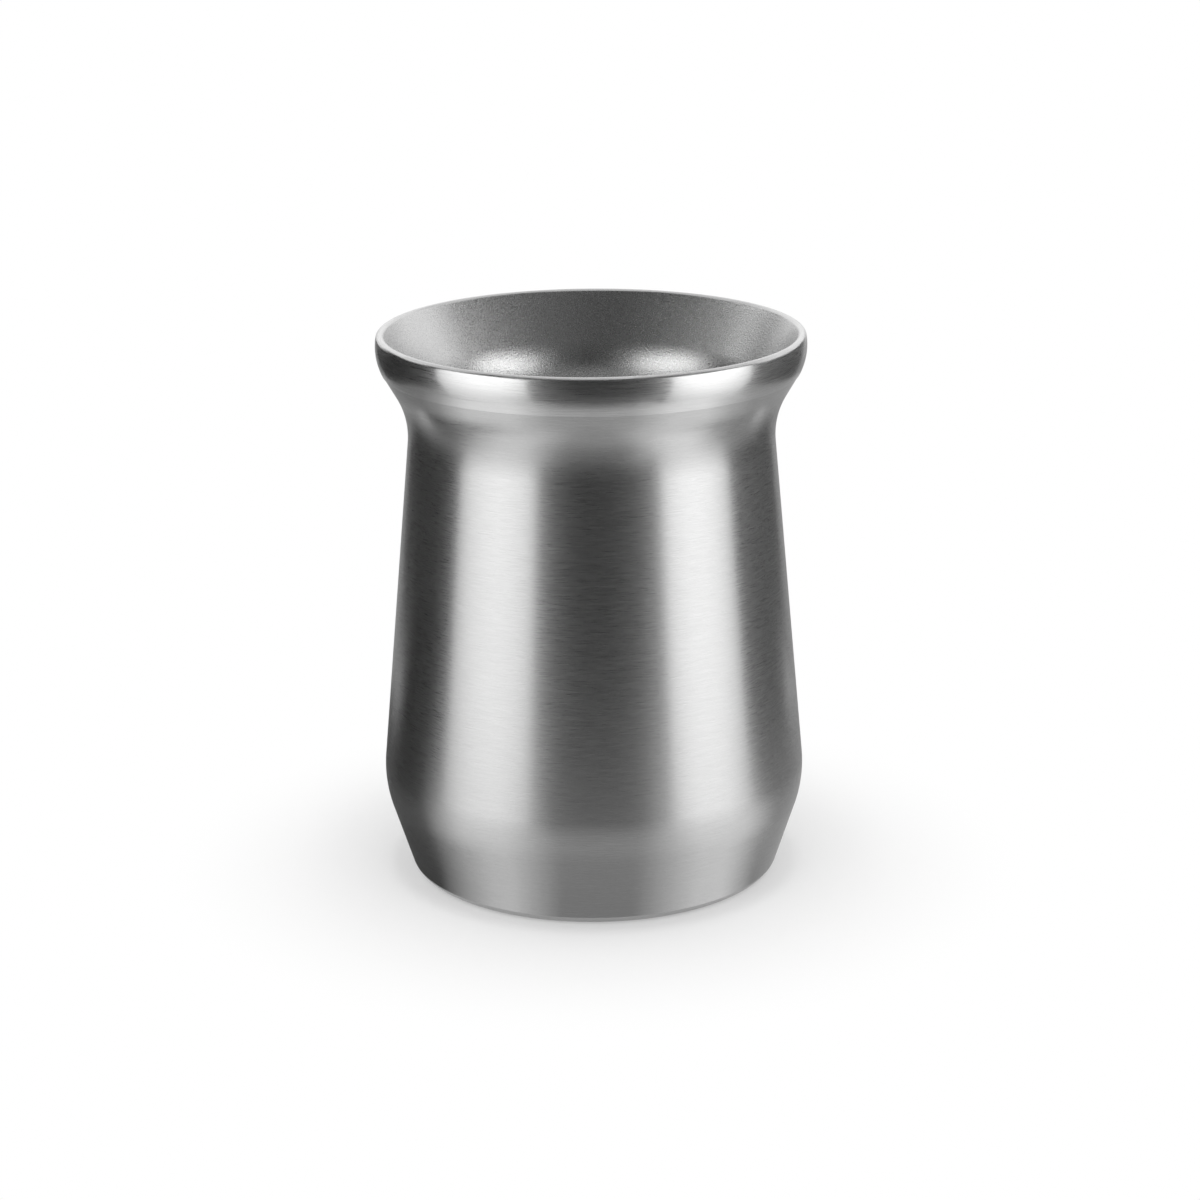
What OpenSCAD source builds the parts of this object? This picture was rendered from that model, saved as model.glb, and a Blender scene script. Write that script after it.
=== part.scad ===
// Mate cup: a double-walled steel cup with a narrow neck, a flared mouth and a polished rim ring.
// Millimetres. The origin is the centre of the foot on the table, and +Z runs up the cup's axis.
// Every piece is a profile turned round the axis. A profile is written as [radius, height] points.

/* [Overall] */
// Height from the table to the lip
cup_h = 99; // [94:0.5:112]
// Widest diameter of the rim ring
rim_d = 76; // [68:0.5:84]

/* [Outer shell] */
// Thickness of the shell's steel
shell_t = 0.6; // [0.4:0.1:0.8]
// Reach of the belly beyond the rim ring
belly_out = 0.1; // [-2:0.1:3]
// Height of the belly's widest place above the table
belly_h = 19; // [17:0.5:26]
// Radius that rounds the belly, from the lower cone into the wall
belly_round = 21; // [12:1:24]
// Lean of the lower cone from upright, in degrees
cone_angle = 18; // [12:1:20]
// Radius of the corner between the lower cone and the foot
foot_round = 2.5; // [1.5:0.25:4]
// Depth to which the neck draws in from the rim ring's width
neck_in = 5.4; // [4.6:0.1:7]
// Radius of the neck's hollow curve
neck_round = 15.5; // [10:0.5:18]
// Lean of the flared mouth from upright, in degrees
flare_angle = 30; // [27:1:34]
// Width of the flat ring that the cup stands on
foot_flat = 1; // [0.5:0.25:3]
// Height of the collar turned up inside the foot
foot_collar_h = 3; // [2:0.5:4]
// Radius of the bend between the foot and its collar
foot_bend = 1.2; // [1:0.1:1.6]
// Reach of the shell's edge up behind the rim ring
lap_h = 2.5; // [1.5:0.25:3]
// Height over which the wall steps in to pass behind the rim ring
joggle_h = 1.5; // [1:0.25:2]

/* [Rim ring] */
// Height of the ring
rim_h = 6.8; // [6:0.2:9]
// Depth of the ring's widest place under the lip
rim_drop = 2.3; // [2:0.1:2.6]
// Radius of the ring's crowned outside
rim_crown = 10; // [9:0.5:14]
// Thickness of the ring's steel
rim_t = 0.6; // [0.5:0.1:0.8]
// Width of the rounded lip
lip_t = 1.6; // [1.4:0.1:2]
// Depth of the lip where the folded sheet is closed
lip_solid_h = 1; // [0.9:0.1:1.3]
// Depth under the lip of the joint between the ring and the liner
lip_joint_drop = 1.6; // [1.5:0.1:2.4]
// Height by which the ring's lower edge stands proud of the shell
rim_step = 0.1; // [0:0.05:0.2]
// Radius of the ring's lower edge
rim_edge = 0.15; // [0.1:0.05:0.25]
// Clearance between the ring and the shell's edge behind it
rim_fit = 0.05; // [0.03:0.01:0.1]

/* [Inner liner] */
// Thickness of the liner's steel
liner_t = 0.5; // [0.4:0.1:0.8]
// Vacuum space between liner and shell at the neck
neck_gap = 2.4; // [1.8:0.1:4]
// Radius of the throat's curve, from the funnel into the well
throat_round = 19; // [12:0.5:21]
// Clearance of the liner's well as it passes down through the neck
pass_gap = 0.9; // [0.6:0.1:1.6]
// Radius of the well's bottom corner
well_corner = 9; // [5:0.5:14]
// Height of the weld between liner and bottom, above the bottom corner
weld_rise = 3; // [1:0.5:8]

/* [Vacuum base] */
// Thickness of the vacuum base
base_t = 0.6; // [0.4:0.1:0.8]
// Height of the vacuum base's upper face above the table
panel_h = 5.6; // [5.4:0.2:7]
// Radius of the vacuum base's rounded edge
base_bend = 1.8; // [1:0.1:1.8]
// Height of the skirt's lower edge above the table
skirt_lift = 0.4; // [0.2:0.1:0.8]
// Free height between the vacuum base and the liner's bottom
base_gap = 3.5; // [3:0.25:8]
// Clearance round the vacuum base and round the base cap
weld_fit = 0.05; // [0.03:0.01:0.1]
// Inner diameter of the pocket round the evacuation hole
pocket_d = 8; // [7:0.5:10]
// Depth of the pocket
pocket_h = 1.6; // [1.2:0.1:2]
// Diameter of the evacuation hole
hole_d = 1.6; // [1:0.1:2]

/* [Base cap] */
// Thickness of the base cap
cap_t = 0.6; // [0.4:0.1:0.8]
// Height of the cap's underside above the table
cap_recess = 1; // [0.6:0.1:1.4]
// Height of the cap from its underside to the top of its rim
cap_rim_h = 2.6; // [2:0.1:2.6]
// Radius of the cap's rounded edge
cap_bend = 1.6; // [1:0.1:1.8]

/* [Seal and getter] */
// Diameter of the glass bead that closes the evacuation hole
bead_d = 5.2; // [4:0.2:6]
// Depth of the bead under the roof of the pocket
bead_h = 1.1; // [0.8:0.1:1.2]
// Clearance of the bead's stem in the evacuation hole
bead_fit = 0.05; // [0.03:0.01:0.1]
// Outer diameter of the getter's tray
tray_d = 9; // [8:0.5:11]
// Height of the getter's tray
tray_h = 1.6; // [1.4:0.1:2.2]
// Thickness of the tray's steel
tray_t = 0.3; // [0.2:0.1:0.4]
// Distance of the tray from the cup's axis
tray_reach = 15; // [12:1:18]
// Height of the getter pellet
pellet_h = 1; // [0.7:0.1:1.1]
// Clearance of the pellet in its tray
pellet_fit = 0.1; // [0.05:0.05:0.2]

/* [Hidden] */

// A profile's arc gets a point every few degrees, and each turned surface is a true surface of revolution
arc_step = 3;
turn_fn = 180;

function at(c, r, a) = c + r * [cos(a), sin(a)];
function arc(c, r, a0, a1) =
    let (n = ceil(abs(a1 - a0) / arc_step))
    [for (i = [0:n]) at(c, r, a0 + (a1 - a0) * i / n)];
function backwards(points) = [for (i = [len(points) - 1:-1:0]) points[i]];
// Lean of the straight wall that is tangent to a corner below it and to a hollow curve above it
function lean_between(low_c, low_r, high_c, high_r) =
    atan2(high_c[1] - low_c[1], high_c[0] - low_c[0]) - acos((low_r + high_r) / norm(high_c - low_c));
// Height of the centre of a hollow curve that is tangent to a flare through the point p
function hollow_h(centre_r, r, p) =
    p[1] + ((centre_r - p[0]) * cos(flare_angle) - r) / sin(flare_angle);
// Radius of a hollow curve, limited by the width that it has between its waist and the straight flare
function hollow_r(r, width) = min(r, width / (1 - cos(flare_angle)));

// Rim ring: a crowned band closed by the rounded lip
seam_h = cup_h - rim_h;
rim_r = rim_d / 2;
rim_c = [rim_r - rim_crown, cup_h - rim_drop];
lip_r = lip_t / 2;
edge_r = rim_crown - rim_edge;
edge_a = asin((seam_h + rim_edge - rim_c[1]) / edge_r);
lip_a = asin((cup_h - lip_r - rim_c[1]) / (rim_crown - lip_r));
lip_c = at(rim_c, rim_crown - lip_r, lip_a);
joint_h = cup_h - lip_joint_drop;
fold_h = cup_h - lip_solid_h;
// Arc concentric with the crown, between two heights
function crown_arc(r, h0, h1) = arc(rim_c, r, asin((h0 - rim_c[1]) / r), asin((h1 - rim_c[1]) / r));

// Outer shell: foot corner, lower cone, belly, wall, neck and flare. d is the depth under its outer face
belly_c = [rim_r + belly_out - belly_round, belly_h];
cone_p = at(belly_c, belly_round - foot_round, -cone_angle);
foot_c = [cone_p[0] - (cone_p[1] - foot_round) * tan(cone_angle), foot_round];
foot_bore_r = foot_c[0] - foot_flat - foot_bend;
seam_p = [crown_arc(rim_crown, seam_h, rim_c[1])[0][0] - rim_step, seam_h];
waist_r = rim_r - neck_in;
neck_r = hollow_r(neck_round, seam_p[0] - waist_r - joggle_h * tan(flare_angle));
waist_c = [waist_r + neck_r, hollow_h(waist_r + neck_r, neck_r, seam_p)];
wall_lean = lean_between(belly_c, belly_round, waist_c, neck_r);
collar_r = rim_crown - rim_t - rim_fit;
function shell_face(d) = concat(
    [[foot_bore_r + d, foot_collar_h]],
    arc([foot_bore_r + foot_bend, foot_bend], foot_bend - d, 180, 270),
    arc(foot_c, foot_round - d, -90, -cone_angle),
    arc(belly_c, belly_round - d, -cone_angle, wall_lean),
    arc(waist_c, neck_r + d, 180 + wall_lean, 180 - flare_angle)
);
function flare_at(d, h) = [seam_p[0] - d / cos(flare_angle) + (h - seam_h) * tan(flare_angle), h];

// Liner: funnel, throat and well. d is the depth under its inner face
lip_p = at(lip_c, lip_r, 180 - flare_angle);
function funnel_at(d, h) = [lip_p[0] + d / cos(flare_angle) + (h - lip_p[1]) * tan(flare_angle), h];
throat_in_r = waist_r - shell_t - neck_gap - liner_t;
throat_r = hollow_r(throat_round, funnel_at(0, joint_h)[0] - throat_in_r);
throat_c = [throat_in_r + throat_r, hollow_h(throat_in_r + throat_r, throat_r, lip_p)];
well_r = waist_r - shell_t - pass_gap - liner_t;
floor_h = panel_h + base_gap + liner_t;
corner_c = [well_r - well_corner, floor_h + well_corner];
well_lean = lean_between(corner_c, well_corner, throat_c, throat_r);
weld_h = corner_c[1] + weld_rise;
function well_at(d, h) =
    let (p = at(throat_c, throat_r - d, 180 + well_lean))
    [p[0] + (p[1] - h) * tan(well_lean), h];
function liner_face(d) = concat(
    [well_at(d, weld_h)],
    arc(throat_c, throat_r - d, 180 + well_lean, 180 - flare_angle),
    [funnel_at(d, joint_h)]
);
function bottom_face(d) = concat(
    [[0, floor_h - d]],
    arc(corner_c, well_corner + d, -90, well_lean),
    [well_at(d, weld_h)]
);

// Vacuum base and base cap, one inside the other in the foot
skirt_r = foot_bore_r - weld_fit;
roof_h = panel_h + pocket_h - base_t;
function base_face(d) = concat(
    [[skirt_r - d, skirt_lift]],
    arc([skirt_r - base_bend, panel_h - base_bend], base_bend - d, 0, 90),
    [
        [pocket_d / 2 + base_t - d, panel_h - d],
        [pocket_d / 2 + base_t - d, panel_h + pocket_h - d],
        [hole_d / 2, panel_h + pocket_h - d]
    ]
);
cap_r = skirt_r - base_t - weld_fit;
function cap_face(d) = concat(
    [[0, cap_recess + d]],
    arc([cap_r - cap_bend, cap_recess + cap_bend], cap_bend - d, -90, 0),
    [[cap_r - d, cap_recess + cap_rim_h]]
);

// Glass bead: a drop with a short stem in the evacuation hole
stem_r = hole_d / 2 - bead_fit;
drop_r = (pow(bead_d / 2, 2) + pow(bead_h, 2)) / (2 * bead_h);
drop_a = asin(bead_d / 2 / drop_r);
pellet_r = tray_d / 2 - tray_t - pellet_fit;

module turned(profile) {
    rotate_extrude($fn = turn_fn) polygon(profile);
}

module outer_shell() {
    color("silver") turned(concat(
        shell_face(0),
        [seam_p],
        crown_arc(collar_r, seam_h, seam_h + lap_h),
        backwards(crown_arc(collar_r - shell_t, seam_h, seam_h + lap_h)),
        [flare_at(shell_t, seam_h - joggle_h)],
        backwards(shell_face(shell_t))
    ));
}

module rim_ring() {
    color("gainsboro") turned(concat(
        arc(at(rim_c, edge_r, edge_a), rim_edge, -90, edge_a),
        arc(rim_c, rim_crown, edge_a, lip_a),
        arc(lip_c, lip_r, lip_a, 180 - flare_angle),
        [funnel_at(0, joint_h), funnel_at(liner_t, joint_h), funnel_at(liner_t, fold_h)],
        backwards(crown_arc(rim_crown - rim_t, seam_h, fold_h))
    ));
}

module inner_liner() {
    color("darkgray") turned(concat(liner_face(0), backwards(liner_face(liner_t))));
}

module liner_bottom() {
    color("darkgray") turned(concat(bottom_face(0), backwards(bottom_face(liner_t))));
}

module vacuum_base() {
    color("lightgray") turned(concat(base_face(0), backwards(base_face(base_t))));
}

module base_cap() {
    color("silver") turned(concat(cap_face(0), backwards(cap_face(cap_t))));
}

module seal_bead() {
    color("darkslategray") turned(concat(
        arc([0, roof_h - bead_h + drop_r], drop_r, -90, drop_a - 90),
        [[stem_r, roof_h], [stem_r, roof_h + base_t], [0, roof_h + base_t]]
    ));
}

module getter_tray() {
    color("lightsteelblue") translate([tray_reach, 0, panel_h]) turned([
        [0, 0],
        [tray_d / 2, 0],
        [tray_d / 2, tray_h],
        [tray_d / 2 - tray_t, tray_h],
        [tray_d / 2 - tray_t, tray_t],
        [0, tray_t]
    ]);
}

module getter() {
    color("dimgray") translate([tray_reach, 0, panel_h + tray_t]) cylinder(h = pellet_h, r = pellet_r, $fn = turn_fn);
}

outer_shell();
rim_ring();
inner_liner();
liner_bottom();
vacuum_base();
base_cap();
seal_bead();
getter_tray();
getter();
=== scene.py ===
import math
import bpy
import bmesh
from mathutils import Matrix, Vector


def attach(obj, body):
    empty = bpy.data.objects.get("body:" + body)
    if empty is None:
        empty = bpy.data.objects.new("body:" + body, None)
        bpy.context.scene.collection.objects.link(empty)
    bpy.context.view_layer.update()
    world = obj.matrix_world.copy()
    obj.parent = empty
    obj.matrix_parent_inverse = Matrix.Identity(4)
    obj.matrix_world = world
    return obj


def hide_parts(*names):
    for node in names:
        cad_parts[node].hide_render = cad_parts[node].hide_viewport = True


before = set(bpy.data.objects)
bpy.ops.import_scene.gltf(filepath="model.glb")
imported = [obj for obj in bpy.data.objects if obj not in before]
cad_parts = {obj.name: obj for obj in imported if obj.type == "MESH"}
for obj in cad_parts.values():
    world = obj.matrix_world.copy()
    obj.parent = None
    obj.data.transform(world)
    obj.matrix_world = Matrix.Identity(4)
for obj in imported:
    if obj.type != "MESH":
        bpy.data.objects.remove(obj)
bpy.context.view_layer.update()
mm = 0.001
scene = bpy.context.scene


# Camera, as fitted to the photo's outline, lip and seam

view = {
    "distance": 533.5,  # mm from the cup's axis, along the floor
    "height": 213,
    "pitch": 0.29764,  # radians down from level
    "yaw": 0.0024,
    "roll": -0.00648,
    "lens": 92.715,  # mm
    "sensor": 36,  # mm wide
    "nearest": 0.01,  # metres, from where the camera sees things
}

lens = bpy.data.cameras.new("camera")
lens.sensor_width = view["sensor"]
lens.lens = view["lens"]
lens.clip_start = view["nearest"]
camera = bpy.data.objects.new("camera", lens)
scene.collection.objects.link(camera)
camera.matrix_world = (
    Matrix.Translation((0, -view["distance"] * mm, view["height"] * mm))
    @ Matrix.Rotation(-view["yaw"], 4, "Z")
    @ Matrix.Rotation(math.pi / 2 - view["pitch"], 4, "X")
    @ Matrix.Rotation(view["roll"], 4, "Z")
)
scene.camera = camera
scene.view_settings.view_transform = "Standard"
print("camera set")


# Shader wiring: a wire carries a socket, and a sum of wires adds its Math nodes

class Wire:
    def __init__(self, tree, socket=None):
        self.tree = tree
        self.socket = socket

    # adds any node: first its settings, then the values or wires of its sockets
    def add(self, kind, settings=None, sockets=None, out=0):
        node = self.tree.nodes.new(kind)
        for name, value in (settings or {}).items():
            if name == "stops":
                ramp = node.color_ramp
                while len(ramp.elements) < len(value):
                    ramp.elements.new(0.5)
                for element, (place, grey) in zip(ramp.elements, value):
                    element.position = place
                    element.color = (grey, grey, grey, 1)
            else:
                setattr(node, name, value)
        for name, value in (sockets or {}).items():
            if isinstance(value, Wire):
                self.tree.links.new(value.socket, node.inputs[name])
            else:
                node.inputs[name].default_value = value
        return Wire(self.tree, node.outputs[out] if len(node.outputs) else None)

    # another output of the same node
    def also(self, out):
        return Wire(self.tree, self.socket.node.outputs[out])

    def maths(self, operation, *values):
        return self.add("ShaderNodeMath", {"operation": operation}, dict(enumerate(values)))

    def __add__(self, other):
        return self.maths("ADD", self, other)

    def __radd__(self, other):
        return self.maths("ADD", other, self)

    def __sub__(self, other):
        return self.maths("SUBTRACT", self, other)

    def __rsub__(self, other):
        return self.maths("SUBTRACT", other, self)

    def __mul__(self, other):
        return self.maths("MULTIPLY", self, other)

    def __rmul__(self, other):
        return self.maths("MULTIPLY", other, self)

    def __truediv__(self, other):
        return self.maths("DIVIDE", self, other)

    def __pow__(self, other):
        return self.maths("POWER", self, other)

    def root(self):
        return self.maths("SQRT", self)

    # a smooth step from 0 at low to 1 at high
    def step(self, low, high):
        return self.add("ShaderNodeMapRange", {"interpolation_type": "SMOOTHSTEP"},
                        {"Value": self, "From Min": low, "From Max": high})

    def grey(self):
        return self.add("ShaderNodeCombineColor", {}, {0: self, 1: self, 2: self})


def newMaterial(name):
    material = bpy.data.materials.new(name)
    material.use_nodes = True
    material.node_tree.nodes.clear()
    return material, Wire(material.node_tree)


def finishMaterial(wire, shader):
    wire.add("ShaderNodeOutputMaterial", {}, {"Surface": shader})


# Steel finishes. Each reads Object coordinates: the cup's axis is Z

hairDepth = 0.00002  # metres, of the marks round the axis
pitDepth = 0.00005  # metres, of pits and grains
highlightTurn = 0.25  # a quarter turn, which draws highlights out across the hair lines


def turnedCoords(wire):
    # unit direction round the axis, radius and height, in metres
    place = wire.add("ShaderNodeTexCoord", out="Object")
    split = wire.add("ShaderNodeSeparateXYZ", {}, {0: place})
    x, y, z = split, split.also("Y"), split.also("Z")
    radius = (x * x + y * y + 1e-10).root()
    return place, x / radius, y / radius, radius, z


mark = {
    "belly": 38,  # mm, the radius at which a mark has the length that is asked for
    "outward": 0.6,  # how fast the marks change with the radius, beside the height
    "roughness": 0.6,
}


# fine marks that run round the axis: length and width of a mark in mm at the belly
def strokes(wire, coords, length, width, detail=2, seed=0):
    alongX, alongY, radius, z = coords[1:]
    across = (z + radius * mark["outward"]) * (1 / (width * mm))
    around = mark["belly"] / length
    vector = wire.add("ShaderNodeCombineXYZ", {},
                      {0: alongX * around + seed, 1: alongY * around, 2: across})
    return wire.add("ShaderNodeTexNoise", {"noise_dimensions": "3D"},
                    {"Vector": vector, "Scale": 1.0, "Detail": detail, "Roughness": mark["roughness"]})


brushed = {
    "color": 0.45,
    "roughness": (0.25, 0.45),  # of the smoothest and the roughest hair lines
    "anisotropic": 0.7,
    "hairLength": 3,  # mm, hair lines too fine to see one by one
    "hairWidth": 0.01,
    "hairStep": (0.4, 0.65),  # of the noise, from smooth to rough
    "strokeLength": 5,  # mm, marks that show
    "strokeWidth": 0.15,
    "cloudScale": 45.0,  # soft patches over the whole wall
    "colorSpread": (0.18, 0.06, 0.05),  # by strokes, hair lines and patches
    "roughnessSpread": (0.03, 0.04),  # by strokes and patches
    "bump": 0.03,
}


def brushedSteel(name="brushedSteel", **changes):
    use = {**brushed, **changes}
    material, wire = newMaterial(name)
    coords = turnedCoords(wire)
    hair = strokes(wire, coords, use["hairLength"], use["hairWidth"], 1, 2).step(*use["hairStep"])
    fine = strokes(wire, coords, use["strokeLength"], use["strokeWidth"])
    cloud = wire.add("ShaderNodeTexNoise", {},
                     {"Vector": coords[0], "Scale": use["cloudScale"], "Detail": 3.0})
    byFine, byHair, byCloud = use["colorSpread"]
    tone = (fine - 0.5) * byFine + (hair - 0.5) * byHair + (cloud - 0.5) * byCloud + 1
    color = (tone * use["color"]).grey()
    smooth, rough = use["roughness"]
    byFine, byCloud = use["roughnessSpread"]
    roughness = hair * (rough - smooth) + (fine - 0.5) * byFine + (cloud - 0.5) * byCloud + smooth
    bump = wire.add("ShaderNodeBump", {},
                    {"Strength": use["bump"], "Distance": hairDepth, "Height": fine})
    finishMaterial(wire, wire.add("ShaderNodeBsdfPrincipled", {}, {
        "Base Color": color, "Metallic": 1.0, "Roughness": roughness, "Normal": bump,
        "Anisotropic": use["anisotropic"], "Anisotropic Rotation": highlightTurn,
    }))
    return material


polished = {
    "color": 0.52,
    "roughness": (0.15, 0.42),  # of the polish, and of the hair lines in it
    "anisotropic": 0.7,
    "hairLength": 5,
    "hairWidth": 0.01,
    "hairStep": (0.35, 0.65),
    "broadLength": 20,
    "broadWidth": 0.6,
    "colorSpread": 0.12,
    "roughnessSpread": 0.06,
    "bump": 0.04,
}


def polishedSteel():
    material, wire = newMaterial("polishedSteel")
    coords = turnedCoords(wire)
    hair = strokes(wire, coords, polished["hairLength"], polished["hairWidth"], 1, 3)
    hair = hair.step(*polished["hairStep"])
    broad = strokes(wire, coords, polished["broadLength"], polished["broadWidth"], 3, 5)
    tone = (broad - 0.5) * polished["colorSpread"] + 1
    color = (tone * polished["color"]).grey()
    smooth, rough = polished["roughness"]
    roughness = hair * (rough - smooth) + (broad - 0.5) * polished["roughnessSpread"] + smooth
    bump = wire.add("ShaderNodeBump", {},
                    {"Strength": polished["bump"], "Distance": hairDepth, "Height": broad})
    finishMaterial(wire, wire.add("ShaderNodeBsdfPrincipled", {}, {
        "Base Color": color, "Metallic": 1.0, "Roughness": roughness, "Normal": bump,
        "Anisotropic": polished["anisotropic"], "Anisotropic Rotation": highlightTurn,
    }))
    return material


blasted = {
    "color": 0.52,
    "roughness": 0.28,
    "grain": 0.24,  # mm across a pit
    "cloudScale": 60.0,
    "colorSpread": (0.5, 0.1),  # by grain and soft patches
    "roughnessSpread": 0.15,
    "pitShare": 0.6,  # of the relief; the rest is grain
    "bump": 0.7,
}


def blastedSteel():
    material, wire = newMaterial("blastedSteel")
    place = wire.add("ShaderNodeTexCoord", out="Object")
    scale = 1 / (blasted["grain"] * mm)
    grain = wire.add("ShaderNodeTexNoise", {}, {"Vector": place, "Scale": scale, "Detail": 2.0})
    pits = wire.add("ShaderNodeTexVoronoi", {"feature": "F1"}, {"Vector": place, "Scale": scale})
    cloud = wire.add("ShaderNodeTexNoise", {},
                     {"Vector": place, "Scale": blasted["cloudScale"], "Detail": 3.0})
    byGrain, byCloud = blasted["colorSpread"]
    tone = (grain - 0.5) * byGrain + (cloud - 0.5) * byCloud + 1
    color = (tone * blasted["color"]).grey()
    roughness = (grain - 0.5) * blasted["roughnessSpread"] + blasted["roughness"]
    height = grain * (1 - blasted["pitShare"]) + pits * blasted["pitShare"]
    bump = wire.add("ShaderNodeBump", {},
                    {"Strength": blasted["bump"], "Distance": pitDepth, "Height": height})
    finishMaterial(wire, wire.add("ShaderNodeBsdfPrincipled", {}, {
        "Base Color": color, "Metallic": 1.0, "Roughness": roughness, "Normal": bump,
    }))
    return material


# Finishes of the hidden pieces: grain is in mm, spread is the share by which the color varies
hiddenFinishes = {
    "plainSteel": {
        "color": (0.45, 0.45, 0.45), "roughness": 0.38, "metallic": 1.0,
        "grain": 0.8, "spread": 0.12, "bump": 0.1,
    },
    "sealGlass": {
        "color": (0.02, 0.021, 0.024), "roughness": 0.12, "metallic": 0.0,
        "grain": 1.5, "spread": 0.3, "bump": 0.05,
    },
    "getterAlloy": {
        "color": (0.1, 0.1, 0.105), "roughness": 0.7, "metallic": 0.8,
        "grain": 0.15, "spread": 0.4, "bump": 0.8,
    },
}


def grainyMaterial(name, color, roughness, metallic, grain, spread, bump):
    material, wire = newMaterial(name)
    place = wire.add("ShaderNodeTexCoord", out="Object")
    noise = wire.add("ShaderNodeTexNoise", {},
                     {"Vector": place, "Scale": 1 / (grain * mm), "Detail": 4.0})
    darker = tuple(c * (1 - spread) for c in color) + (1,)
    paler = tuple(c * (1 + spread) for c in color) + (1,)
    tint = wire.add("ShaderNodeMix", {"data_type": "RGBA", "blend_type": "MIX"},
                    {"Factor": noise, 6: darker, 7: paler}, out=2)
    relief = wire.add("ShaderNodeBump", {}, {"Strength": bump, "Distance": pitDepth, "Height": noise})
    finishMaterial(wire, wire.add("ShaderNodeBsdfPrincipled", {}, {
        "Base Color": tint, "Metallic": metallic, "Roughness": (noise - 0.5) * 0.2 + roughness,
        "Normal": relief,
    }))
    return material


steelBrushed = brushedSteel()
steelPolished = polishedSteel()
steelBlasted = blastedSteel()
steelCap = brushedSteel("spunSteel", strokeWidth=0.4)
steelPlain, glassSeal, alloyGetter = (
    grainyMaterial(name, **finish) for name, finish in hiddenFinishes.items())
print("materials made")


# A pen draws a wall's section in the XZ plane, with x as the radius. All of a piece's sizes are in
# mm, and angles are in degrees

turning = {
    "steps": 240,  # round the cup
    "joinWithin": 1e-7,  # metres
    "sharpFrom": 40,  # between two faces, from where their edge is drawn sharp
}


def around(centre, radius, angle):
    a = math.radians(angle)
    return (centre[0] + radius * math.cos(a), centre[1] + radius * math.sin(a))


class Pen:
    def __init__(self, start):
        self.bm = bmesh.new()
        self.start = self.tip = self.bm.verts.new((start[0] * mm, 0, start[1] * mm))

    # a straight line in parts of at most the longest length, in mm
    def line(self, end, longest=3.0):
        goal = Vector((end[0] * mm, 0, end[1] * mm))
        begin = self.tip.co.copy()
        parts = max(1, math.ceil((goal - begin).length / (longest * mm)))
        for i in range(parts):
            self.tip = bmesh.ops.extrude_vert_indiv(self.bm, verts=[self.tip])["verts"][0]
            self.tip.co = begin.lerp(goal, (i + 1) / parts)
        return self

    # swings the tip round a centre, in steps of so many degrees;
    # a positive sweep is anticlockwise, with +X right and +Z up
    def arc(self, centre, sweep, step=2.0):
        steps = max(2, math.ceil(abs(sweep) / step))
        swung = bmesh.ops.spin(self.bm, geom=[self.tip], cent=(centre[0] * mm, 0, centre[1] * mm),
                               axis=(0, -1, 0), angle=math.radians(sweep), steps=steps, use_duplicate=False)
        self.tip = [v for v in swung["geom_last"] if isinstance(v, bmesh.types.BMVert)][0]
        return self

    # turns the section round the cup's axis; a closed section is joined back to its start first
    def turn(self, name, material, node, closed=True):
        bm = self.bm
        if closed:
            bm.edges.new((self.tip, self.start))
        bmesh.ops.remove_doubles(bm, verts=bm.verts, dist=turning["joinWithin"])
        bmesh.ops.spin(bm, geom=bm.verts[:] + bm.edges[:], cent=(0, 0, 0), axis=(0, 0, 1),
                       angle=math.tau, steps=turning["steps"], use_merge=True)
        bmesh.ops.remove_doubles(bm, verts=bm.verts, dist=turning["joinWithin"])
        bmesh.ops.recalc_face_normals(bm, faces=bm.faces)
        for face in bm.faces:
            face.smooth = True
        for edge in bm.edges:
            edge.smooth = edge.calc_face_angle(0) < math.radians(turning["sharpFrom"])
        mesh = bpy.data.meshes.new(name)
        bm.to_mesh(mesh)
        bm.free()
        mesh.materials.append(material)
        piece = bpy.data.objects.new(name, mesh)
        scene.collection.objects.link(piece)
        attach(piece, "root")
        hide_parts(node)
        return piece


# lean of the straight wall tangent to a corner below it and a hollow curve above it, in degrees
def leanBetween(low, lowRadius, high, highRadius):
    dx, dz = high[0] - low[0], high[1] - low[1]
    return math.degrees(math.atan2(dz, dx) - math.acos((lowRadius + highRadius) / math.hypot(dx, dz)))


# height of the centre of a hollow curve tangent to a flare through a point
def hollowHeight(centreX, radius, point, angle):
    a = math.radians(angle)
    return point[1] + ((centreX - point[0]) * math.cos(a) - radius) / math.sin(a)


# Rim ring: crowned band, rounded lip, folded leg down to the liner

rim = {
    "top": 99.0,
    "radius": 38.0,
    "crown": 10.0,  # radius of the crowned band
    "drop": 2.3,  # from the top down to where the band is widest
    "height": 6.8,
    "sheet": 0.6,
    "lip": 0.8,  # radius of the rounded lip
    "edge": 0.15,  # radius of the lower edge
    "leg": 1.6,  # depth of the folded leg's foot
    "fold": 1.0,  # depth to which the folded sheet is closed
    "innerSheet": 0.5,
    "flare": 30.0,
    "blastMargin": 0.02,  # slack in telling the leg's faces from the lip's
}

flareSlope = math.tan(math.radians(rim["flare"]))
seamZ = rim["top"] - rim["height"]
crownCentre = (rim["radius"] - rim["crown"], rim["top"] - rim["drop"])
lipAngle = math.degrees(math.asin((rim["top"] - rim["lip"] - crownCentre[1]) / (rim["crown"] - rim["lip"])))
lipCentre = around(crownCentre, rim["crown"] - rim["lip"], lipAngle)
lipInside = around(lipCentre, rim["lip"], 180 - rim["flare"])


def crownAngle(radius, height):
    return math.degrees(math.asin((height - crownCentre[1]) / radius))


# a point of the funnel at a height, so deep behind its inner face
def funnelAt(depth, height):
    level = lipInside[0] + depth / math.cos(math.radians(rim["flare"]))
    return (level + (height - lipInside[1]) * flareSlope, height)


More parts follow.
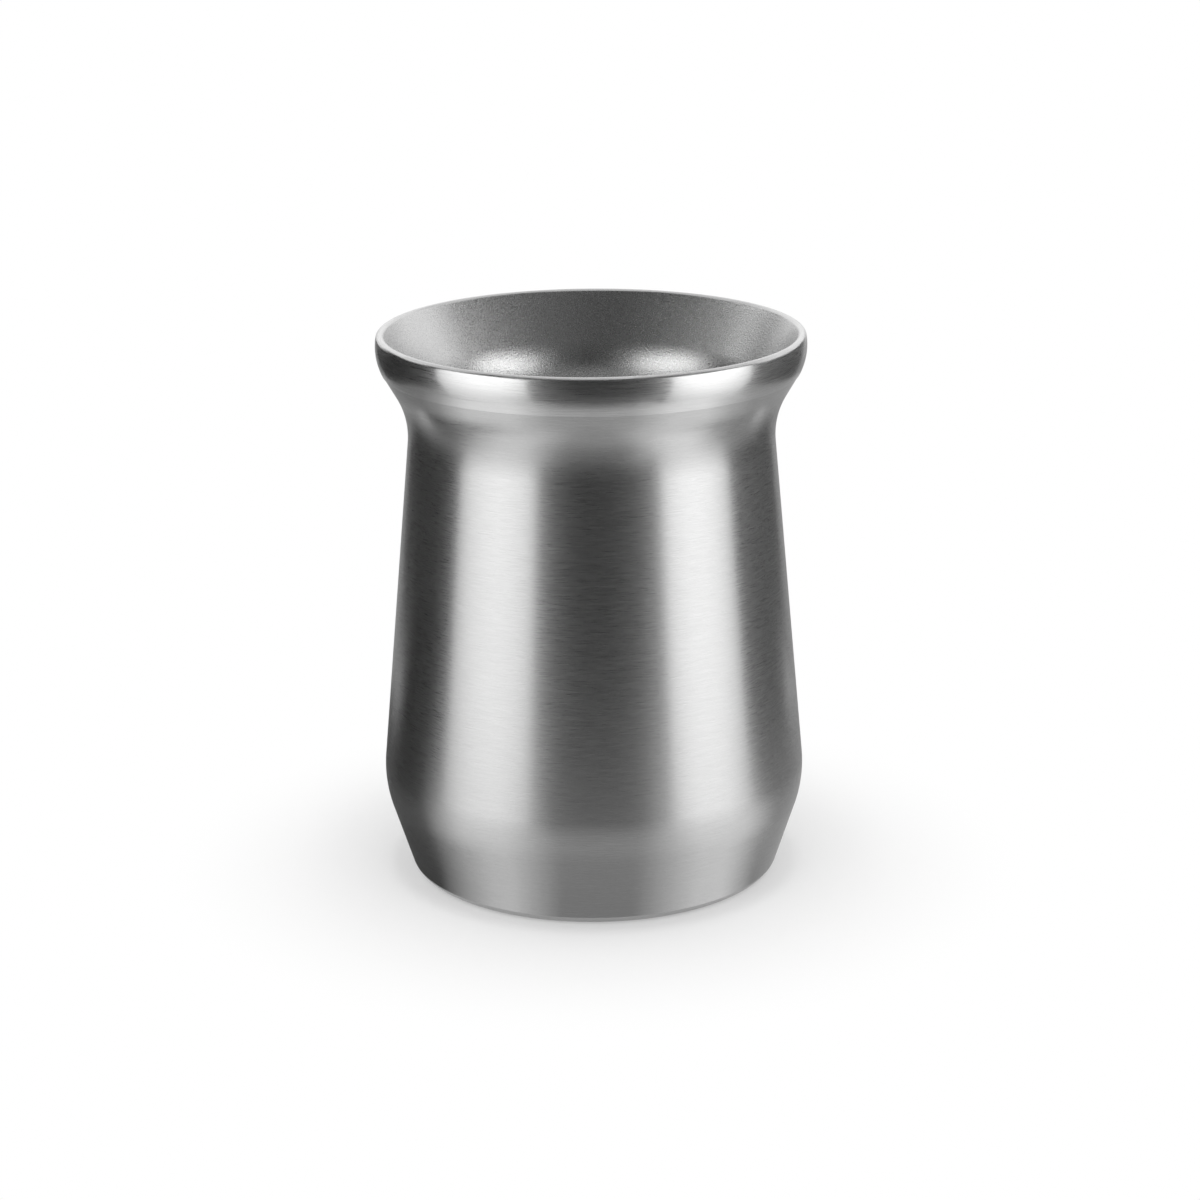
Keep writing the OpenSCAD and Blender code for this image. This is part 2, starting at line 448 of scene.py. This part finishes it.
def makeRing():
    innerCrown = rim["crown"] - rim["sheet"]
    edgeRadius = rim["crown"] - rim["edge"]
    edgeAngle = crownAngle(edgeRadius, seamZ + rim["edge"])
    edgeCentre = around(crownCentre, edgeRadius, edgeAngle)
    legFoot = rim["top"] - rim["leg"]
    foldTop = rim["top"] - rim["fold"]
    skirtTop, skirtFoot = crownAngle(innerCrown, foldTop), crownAngle(innerCrown, seamZ)
    pen = Pen(around(edgeCentre, rim["edge"], -90))
    pen.arc(edgeCentre, 90 + edgeAngle, 10)
    pen.arc(crownCentre, lipAngle - edgeAngle, 0.5)
    pen.arc(lipCentre, 180 - rim["flare"] - lipAngle, 4)
    pen.line(funnelAt(0, legFoot)).line(funnelAt(rim["innerSheet"], legFoot))
    pen.line(funnelAt(rim["innerSheet"], foldTop))
    pen.line(around(crownCentre, innerCrown, skirtTop))
    pen.arc(crownCentre, skirtFoot - skirtTop, 3)
    ring = pen.turn("rimRing", steelPolished, "rim_ring")
    ring.data.materials.append(steelBlasted)  # the blasting runs up the leg to the rounded lip
    for face in ring.data.polygons:
        middle = face.center
        if math.hypot(middle.x, middle.y) < (lipInside[0] + rim["blastMargin"]) * mm:
            face.material_index = 1


makeRing()


# Outer shell: foot, lower cone, belly, wall, neck and flare, with a collar behind the ring

shell = {
    "sheet": 0.6,
    "belly": 38.1,
    "bellyHeight": 19.0,
    "bellyRound": 21.0,
    "cone": 18.0,
    "footRound": 2.5,
    "footFlat": 1.0,
    "footBend": 1.2,
    "footCollar": 3.0,
    "waist": 32.6,
    "neckRound": 15.5,
    "step": 0.1,  # how far the ring's edge stands proud
    "fit": 0.05,  # gap to the ring
    "lap": 2.5,  # how far the collar goes up behind the ring
    "joggle": 1.5,
}

bellyCentre = (shell["belly"] - shell["bellyRound"], shell["bellyHeight"])
conePoint = around(bellyCentre, shell["bellyRound"] - shell["footRound"], -shell["cone"])
footX = conePoint[0] - (conePoint[1] - shell["footRound"]) * math.tan(math.radians(shell["cone"]))
footCentre = (footX, shell["footRound"])
boreRadius = footCentre[0] - shell["footFlat"] - shell["footBend"]
seamPoint = (around(crownCentre, rim["crown"], crownAngle(rim["crown"], seamZ))[0] - shell["step"], seamZ)
waistX = shell["waist"] + shell["neckRound"]
waistCentre = (waistX, hollowHeight(waistX, shell["neckRound"], seamPoint, rim["flare"]))
wallLean = leanBetween(bellyCentre, shell["bellyRound"], waistCentre, shell["neckRound"])


def makeShell():
    t, cone, flare = shell["sheet"], shell["cone"], rim["flare"]
    outerLap = rim["crown"] - rim["sheet"] - shell["fit"]
    innerLap = outerLap - t
    lapTop = seamZ + shell["lap"]
    bendCentre = (boreRadius + shell["footBend"], shell["footBend"])
    pen = Pen((boreRadius, shell["footCollar"]))
    pen.line((boreRadius, shell["footBend"])).arc(bendCentre, 90, 6)
    pen.line((footCentre[0], 0)).arc(footCentre, 90 - cone, 2)
    pen.line(around(bellyCentre, shell["bellyRound"], -cone), 1.5).arc(bellyCentre, cone + wallLean, 0.6)
    pen.line(around(waistCentre, shell["neckRound"], 180 + wallLean), 2)
    pen.arc(waistCentre, -flare - wallLean, 0.75)
    pen.line(seamPoint, 0.8)
    pen.line(around(crownCentre, outerLap, crownAngle(outerLap, seamZ)))
    pen.arc(crownCentre, crownAngle(outerLap, lapTop) - crownAngle(outerLap, seamZ), 4)
    pen.line(around(crownCentre, innerLap, crownAngle(innerLap, lapTop)))
    pen.arc(crownCentre, crownAngle(innerLap, seamZ) - crownAngle(innerLap, lapTop), 4)
    joggleX = seamPoint[0] - t / math.cos(math.radians(flare)) - shell["joggle"] * flareSlope
    pen.line((joggleX, seamZ - shell["joggle"]))
    pen.line(around(waistCentre, shell["neckRound"] + t, 180 - flare))
    pen.arc(waistCentre, flare + wallLean, 4)
    pen.line(around(bellyCentre, shell["bellyRound"] - t, wallLean), 10)
    pen.arc(bellyCentre, -wallLean - cone, 4)
    pen.line(around(footCentre, shell["footRound"] - t, -cone)).arc(footCentre, cone - 90, 9)
    pen.line((bendCentre[0], t)).arc(bendCentre, -90, 15)
    pen.line((boreRadius + t, shell["footCollar"]))
    pen.turn("outerShell", steelBrushed, "outer_shell")


makeShell()


# Liner: funnel, throat and well above the weld; the pressed bottom below it

liner = {
    "sheet": 0.5,
    "neckGap": 2.4,  # vacuum space between the walls at the neck
    "passGap": 0.9,  # between the well and the neck, which it passes through
    "throatRound": 19.0,
    "corner": 9.0,
    "floor": 9.6,
    "weldRise": 3.0,  # of the weld above the corner's centre
}

throatIn = shell["waist"] - shell["sheet"] - liner["neckGap"] - liner["sheet"]
throatX = throatIn + liner["throatRound"]
throatCentre = (throatX, hollowHeight(throatX, liner["throatRound"], lipInside, rim["flare"]))
wellIn = shell["waist"] - shell["sheet"] - liner["passGap"] - liner["sheet"]
cornerCentre = (wellIn - liner["corner"], liner["floor"] + liner["corner"])
wellLean = leanBetween(cornerCentre, liner["corner"], throatCentre, liner["throatRound"])
weldZ = cornerCentre[1] + liner["weldRise"]


# a point of the well's wall at a height, so deep behind its inner face
def wellAt(depth, height):
    top = around(throatCentre, liner["throatRound"] - depth, 180 + wellLean)
    return (top[0] + (top[1] - height) * math.tan(math.radians(wellLean)), height)


def makeLiner():
    t, r, flare = liner["sheet"], liner["throatRound"], rim["flare"]
    legFoot = rim["top"] - rim["leg"]
    pen = Pen(wellAt(0, weldZ))
    pen.line(around(throatCentre, r, 180 + wellLean)).arc(throatCentre, -wellLean - flare, 0.75)
    pen.line(funnelAt(0, legFoot), 1.5).line(funnelAt(t, legFoot))
    pen.line(around(throatCentre, r - t, 180 - flare)).arc(throatCentre, flare + wellLean, 4)
    pen.line(wellAt(t, weldZ), 10)
    pen.turn("innerLiner", steelBlasted, "inner_liner")


def makeBottom():
    t, corner, floor = liner["sheet"], liner["corner"], liner["floor"]
    pen = Pen((0, floor))
    pen.line((cornerCentre[0], floor)).arc(cornerCentre, 90 + wellLean, 2)
    pen.line(wellAt(0, weldZ)).line(wellAt(t, weldZ)).line(around(cornerCentre, corner + t, wellLean))
    pen.arc(cornerCentre, -90 - wellLean, 6)
    pen.line((0, floor - t), 12)
    pen.turn("linerBottom", steelBlasted, "liner_bottom", closed=False)


makeLiner()
makeBottom()


# Base cap: it closes the bottom inside the flat ring that the cup stands on

cap = {
    "sheet": 0.6,
    "height": 1.0,  # of its face above the table
    "rim": 2.6,
    "bend": 1.6,
    "clearance": 0.05,  # to the vacuum base, and from that to the shell
    "baseSheet": 0.6,
}


def makeCap():
    t, low, bend = cap["sheet"], cap["height"], cap["bend"]
    radius = boreRadius - cap["baseSheet"] - 2 * cap["clearance"]
    centre = (radius - bend, low + bend)
    top = low + cap["rim"]
    pen = Pen((0, low))
    pen.line((centre[0], low)).arc(centre, 90, 5)
    pen.line((radius, top)).line((radius - t, top)).line((radius - t, centre[1]))
    pen.arc(centre, -90, 10)
    pen.line((0, low + t), 12)
    pen.turn("baseCap", steelCap, "base_cap", closed=False)


makeCap()


# The hidden pieces keep their solids and get a finish
hiddenPieces = {
    "vacuum_base": steelPlain,
    "getter_tray": steelPlain,
    "seal_bead": glassSeal,
    "getter": alloyGetter,
}

for node, material in hiddenPieces.items():
    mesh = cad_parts[node].data
    mesh.materials.clear()
    mesh.materials.append(material)
print("pieces made")


# Studio: a white floor and world, softboxes, a lamp overhead, and glowing sheets round and under the cup
# that only the steel shows, whose tones are painted reflections. Lengths are in metres. An azimuth is in
# degrees: 0 is the camera's side of the cup and + is to its right

studio = {
    "floorColor": 0.68,
    "floorBoost": 0.3,  # the floor's own glow, which keeps the shadow pale
    "floorFade": (0.046, 0.08),  # from the cup's axis, where the floor turns plain white
    "floorFront": -0.15,
    "floorBack": 1.6,
    "floorHalf": (0.112, 0.186),  # half of the floor's width at the cup, and what each metre back adds
    "ambient": 0.85,
    "cardHeight": 0.0015,  # of the graded reflection sheet and the back reflection card over the floor
    # the back card glows grey and only the steel shows it: a painted grey reflection
    "backReflectionCard": (0.1, 0.62),  # behind the cup, from and to
    "backReflectionTone": 0.4,
    # the ground is a dark glowing sheet that only the steel shows: a painted dark reflection
    "groundRadius": 1.2,
    "groundHeight": -0.9,
    "groundTone": 0.1,
}

white = (1, 1, 1, 1)


# 1 where the camera, metal or glass looks, and 0 for the light that falls on things
def seenRay(wire):
    ray = wire.add("ShaderNodeLightPath", out="Is Camera Ray")
    mirrored = ray.maths("MAXIMUM", ray.also("Is Glossy Ray"), ray.also("Is Transmission Ray"))
    return ray.maths("MAXIMUM", ray, mirrored)


def glowOf(wire, color):
    return wire.add("ShaderNodeEmission", {}, {"Color": color, "Strength": 1.0})


# a material that glows and isn't counted among the lamps
def finishGlow(material, wire, shader):
    finishMaterial(wire, shader)
    material.cycles.emission_sampling = "NONE"


def flatGlow(name, tone):
    material, wire = newMaterial(name)
    finishGlow(material, wire, glowOf(wire, (tone, tone, tone, 1)))
    return material


def stageObject(name, bm, material, hidden=True):
    mesh = bpy.data.meshes.new(name)
    bm.to_mesh(mesh)
    bm.free()
    mesh.materials.append(material)
    thing = bpy.data.objects.new(name, mesh)
    scene.collection.objects.link(thing)
    if hidden:
        thing.visible_camera = False
        thing.visible_diffuse = False
        thing.visible_shadow = False


# grey that goes from tone to tone along a line, from stops of place and tone;
# tones are halved in the ramp and doubled after it, so they may go up to 2
def graded(wire, line, first, last, stops):
    places = [((place - first) / (last - first), tone / 2) for place, tone in stops]
    return wire.add("ShaderNodeValToRGB", {"stops": places}, {"Fac": line}) * 2


# a strip of the floor's own outline, from front to back
def floorSheet(front, back, height=0):
    bm = bmesh.new()
    bmesh.ops.create_grid(bm, x_segments=1, y_segments=1, size=1)
    half, spread = studio["floorHalf"]
    for corner in bm.verts:
        corner.co.y = front if corner.co.y < 0 else back
        corner.co.x *= half + spread * corner.co.y
        corner.co.z = height
    return bm


def makeFloor():
    bm = floorSheet(studio["floorFront"], studio["floorBack"])
    material, wire = newMaterial("whiteFloor")
    place = wire.add("ShaderNodeTexCoord", out="Object")
    away = wire.add("ShaderNodeVectorMath", {"operation": "LENGTH"}, {0: place}, out="Value")
    seen = seenRay(wire)
    pale = studio["floorColor"]
    matt = wire.add("ShaderNodeBsdfDiffuse", {}, {"Color": (pale, pale, pale, 1)})
    boost = wire.add("ShaderNodeEmission", {},
                     {"Color": white, "Strength": seen * studio["floorBoost"]})
    near = wire.add("ShaderNodeAddShader", {}, {0: matt, 1: boost})
    far = away.step(*studio["floorFade"]) * seen
    plain = glowOf(wire, white)
    finishMaterial(wire, wire.add("ShaderNodeMixShader", {}, {0: far, 1: near, 2: plain}))
    stageObject("floor", bm, material, hidden=False)


def makeWorld():
    world = bpy.data.worlds.new("studioWorld")
    world.use_nodes = True
    world.node_tree.nodes.clear()
    wire = Wire(world.node_tree)
    strength = seenRay(wire) * (1 - studio["ambient"]) + studio["ambient"]
    background = wire.add("ShaderNodeBackground", {}, {"Color": white, "Strength": strength})
    wire.add("ShaderNodeOutputWorld", {}, {"Surface": background})
    scene.world = world


# A graded sheet on the floor in front, seen only in the steel, whose glow paints the steel's reflections.
# Its lines run out from the cup along the way that a surface facing that angle looks, so each band paints
# one strip of the steel
reflectionSheet = {
    "near": 0.0325,
    "reach": 0.116,
    "halfWay": (0.014, 0.024),  # out, where the foot's tones give way to the ones half way
    "farOut": (0.044, 0.069),
    # stops of cup angle and tone
    "footTones": [
        (-90, 0.6), (-78, 0.08), (-53, 0.08), (-31, 0.94), (-25, 1.0), (-10, 0.39),
        (11, 0.39), (31, 1.1), (40, 1.15), (54, 0.4), (90, 0.6),
    ],
    "middleTones": [
        (-90, 0.6), (-78, 0.12), (-53, 0.12), (-38, 1.12), (-25, 1.2), (-10, 0.55),
        (11, 0.55), (28, 1.25), (44, 1.25), (57, 0.4), (90, 0.6),
    ],
    "farTones": [
        (-90, 0.4), (-80, 0.02), (-53, 0.04), (-36, 1.3), (-25, 1.35), (-11, 0.33),
        (12, 0.33), (27, 1.6), (37, 1.6), (51, 0.25), (90, 0.4),
    ],
}


def makeReflectionSheet():
    bm = bmesh.new()
    bm.loops.layers.uv.new("UVMap")
    bmesh.ops.create_grid(bm, x_segments=60, y_segments=1, size=1, calc_uvs=True)
    for corner in bm.verts:
        a = math.radians(90 * corner.co.x)
        near, far = reflectionSheet["near"], reflectionSheet["reach"] * (corner.co.y + 1) / 2
        corner.co = (
            near * math.sin(a) + far * math.sin(2 * a),
            -near * math.cos(a) - far * math.cos(2 * a),
            studio["cardHeight"],
        )
    material, wire = newMaterial("paintedReflectionSheet")
    split = wire.add("ShaderNodeSeparateXYZ", {}, {0: wire.add("ShaderNodeTexCoord", out="UV")})
    out = split.also("Y") * reflectionSheet["reach"]
    foot = graded(wire, split, -90, 90, reflectionSheet["footTones"])
    middle = graded(wire, split, -90, 90, reflectionSheet["middleTones"])
    far = graded(wire, split, -90, 90, reflectionSheet["farTones"])
    tone = foot + (middle - foot) * out.step(*reflectionSheet["halfWay"])
    tone = tone + (far - middle) * out.step(*reflectionSheet["farOut"])
    # the sheet glows in these tones, which are painted reflections for the steel
    finishGlow(material, wire, glowOf(wire, tone.grey()))
    stageObject("paintedReflectionSheet", bm, material)


# A grey glowing card on the floor behind, seen only in the steel: it paints a grey reflection along the
# cup's left and right edges
def makeBackReflectionCard():
    front, back = studio["backReflectionCard"]
    bm = floorSheet(front, back, studio["cardHeight"])
    stageObject("backReflectionCard", bm, flatGlow("backReflectionCard", studio["backReflectionTone"]))


# A narrow glowing card round the neck, seen only in the steel: its graded tones paint the reflection in the
# lower part of the ring and the flare
ringReflectionCard = {
    "height": 0.085,
    "inside": 0.0365,
    "outside": 0.0462,
    "steps": 120,
    "tones": [
        (-180, 0.8), (-120, 0.7), (-90, 0.35), (-66, 0.3), (-56, 0.5), (-42, 1.25),
        (-26, 1.3), (-13, 0.72), (0, 0.64), (13, 0.72), (26, 1.3), (38, 1.35),
        (49, 0.75), (60, 0.5), (90, 0.5), (120, 0.7), (180, 0.8),
    ],
}


def makeRingReflectionCard():
    bm = bmesh.new()
    inner = bm.verts.new((ringReflectionCard["inside"], 0, ringReflectionCard["height"]))
    outer = bm.verts.new((ringReflectionCard["outside"], 0, ringReflectionCard["height"]))
    edge = bm.edges.new((inner, outer))
    bmesh.ops.spin(bm, geom=[inner, outer, edge], cent=(0, 0, 0), axis=(0, 0, 1), angle=math.tau,
                   steps=ringReflectionCard["steps"], use_merge=True)
    bm.normal_update()
    for face in bm.faces:
        if face.normal.z < 0:
            face.normal_flip()
    material, wire = newMaterial("ringReflectionCard")
    place = wire.add("ShaderNodeTexCoord", out="Object")
    split = wire.add("ShaderNodeSeparateXYZ", {}, {0: place})
    azimuth = wire.maths("ARCTAN2", split, 0 - split.also("Y")) * (180 / math.pi)
    tone = graded(wire, (azimuth + 180) / 360, -180, 180, ringReflectionCard["tones"])
    # the card's glow is a painted reflection
    glow = glowOf(wire, tone.grey())
    clear = wire.add("ShaderNodeBsdfTransparent")
    below = wire.add("ShaderNodeNewGeometry", out="Backfacing")
    finishGlow(material, wire, wire.add("ShaderNodeMixShader", {}, {0: below, 1: glow, 2: clear}))
    stageObject("ringReflectionCard", bm, material)


# Glowing sheets that bend round the cup, seen only in the steel, whose tones paint its dark and bright
# reflections: distance, lower edge, upper edge, and stops of azimuth and tone
reflectionCloths = {
    "reflectionFront": (1.1, -0.4, 0.85, [
        (-92, 0.05), (-36, 0.3), (-22, 0.115), (-8, 0.052),
        (8, 0.052), (26, 0.1), (42, 0.32), (96, 0.1),
    ]),
    "reflectionFrontLow": (1.1, -1.0, -0.4, [(-92, 0.1), (96, 0.1)]),
    "reflectionHigh": (1.1, 0.85, 3.5, [(-92, 0.05), (0, 0.09), (10, 0.14), (96, 0.14)]),
    "reflectionLeft": (0.9, -0.33, 0.05, [(-172, 1.0), (-160, 0.02), (-106, 0.02)]),
    "reflectionLeftMiddle": (0.9, 0.05, 0.43, [(-144, 1.0), (-132, 0.02), (-106, 0.02)]),
    "reflectionLeftHigh": (0.9, -0.33, 0.7, [(-106, 0.02), (-85, 0.02)]),
    "reflectionLeftLow": (0.9, -1.0, -0.33, [(-150, 1.0), (-134, 0.4), (-86, 0.4)]),
    "reflectionRight": (0.9, -0.33, 0.22, [(91, 0.09), (145, 0.09), (163, 1.0)]),
    "reflectionRightLow": (0.9, -1.0, -0.33, [(91, 0.45), (138, 0.45), (156, 1.0)]),
    "reflectionBack": (1.0, 0.24, 0.8, [(91, 0.05), (97, 0.05), (106, 1.3), (250, 1.3), (260, 1.0)]),
}


def makeReflectionCloth(name, distance, low, high, stops):
    start, end = stops[0][0], stops[-1][0]
    sweep = math.radians(end - start)
    a = math.radians(start)
    bm = bmesh.new()
    foot = bm.verts.new((distance * math.sin(a), -distance * math.cos(a), low))
    top = bm.verts.new((foot.co.x, foot.co.y, high))
    edge = bm.edges.new((foot, top))
    steps = max(4, int((end - start) / 4))  # one for every 4 degrees
    bmesh.ops.spin(bm, geom=[foot, top, edge], cent=(0, 0, 0), axis=(0, 0, 1), angle=sweep,
                   steps=steps, use_duplicate=False)
    material, wire = newMaterial(name)
    place = wire.add("ShaderNodeTexCoord", out="Object")
    turned = wire.add("ShaderNodeVectorRotate", {"rotation_type": "Z_AXIS"},
                      {"Vector": place, "Angle": math.radians(90 - (start + end) / 2)})
    split = wire.add("ShaderNodeSeparateXYZ", {}, {0: turned})
    azimuth = wire.maths("ARCTAN2", split.also("Y"), split)
    tone = graded(wire, (azimuth + sweep / 2) / sweep, start, end, stops)
    # the sheet's glow is a painted reflection
    finishGlow(material, wire, glowOf(wire, tone.grey()))
    stageObject(name, bm, material)


# a dark glowing sheet far below the floor, seen only in the steel: a painted dark reflection
def makeGround():
    bm = bmesh.new()
    bmesh.ops.create_circle(bm, cap_ends=True, segments=60, radius=studio["groundRadius"],
                            matrix=Matrix.Translation((0, 0, studio["groundHeight"])))
    stageObject("reflectionGround", bm, flatGlow("reflectionGround", studio["groundTone"]))


# Upright softboxes, which the steel shows as bright strips, brightest at the top of the middle:
# the shares are what is left of that at the sides and at the foot
softboxes = {
    "softboxLeft": {
        "azimuth": -59.5, "distance": 0.75, "width": 0.75, "low": -0.5, "high": 0.48,
        "radiance": 2.9, "edgeShare": 0.7, "footShare": 0.27,
    },
    "softboxRight": {
        "azimuth": 66, "distance": 0.75, "width": 0.69, "low": -0.5, "high": 0.48,
        "radiance": 3.1, "edgeShare": 0.7, "footShare": 0.27,
    },
}

# A wide lamp overhead, which the steel doesn't show: it lights the floor and draws the cup's shadow
overhead = {"width": 0.34, "depth": 0.4, "height": 1.2, "forward": 0.12, "radiance": 6.6}


# an area lamp, as bright to look at as its radiance says, whatever its size
def areaLamp(name, width, depth, radiance):
    light = bpy.data.lights.new(name, "AREA")
    light.shape = "RECTANGLE"
    light.size = width
    light.size_y = depth
    light.energy = radiance * math.pi * width * depth
    lamp = bpy.data.objects.new(name, light)
    lamp.visible_camera = False
    scene.collection.objects.link(lamp)
    return lamp


def makeSoftbox(name, azimuth, distance, width, low, high, radiance, edgeShare, footShare):
    lamp = areaLamp(name, width, high - low, radiance)
    a = math.radians(azimuth)
    lamp.location = (distance * math.sin(a), -distance * math.cos(a), (low + high) / 2)
    lamp.rotation_euler = (math.pi / 2, 0, a)
    lamp.visible_diffuse = False
    lamp.data.use_nodes = True
    lamp.data.node_tree.nodes.clear()
    wire = Wire(lamp.data.node_tree)
    place = wire.add("ShaderNodeNewGeometry", out="Parametric")
    split = wire.add("ShaderNodeSeparateXYZ", {}, {0: place})
    across = (split * 2 - 1) ** 2
    strength = (1 - across * (1 - edgeShare)) * (split.also("Y") * (1 - footShare) + footShare)
    glow = wire.add("ShaderNodeEmission", {}, {"Color": white, "Strength": strength})
    wire.add("ShaderNodeOutputLight", {}, {"Surface": glow})


def makeOverhead():
    lamp = areaLamp("overheadLamp", overhead["width"], overhead["depth"], overhead["radiance"])
    lamp.location = (0, -overhead["forward"], overhead["height"])
    lamp.visible_glossy = False


makeFloor()
makeWorld()
makeReflectionSheet()
makeBackReflectionCard()
makeRingReflectionCard()
for name, (distance, low, high, stops) in reflectionCloths.items():
    makeReflectionCloth(name, distance, low, high, stops)
makeGround()
for name, use in softboxes.items():
    makeSoftbox(name, **use)
makeOverhead()
print("studio lit")
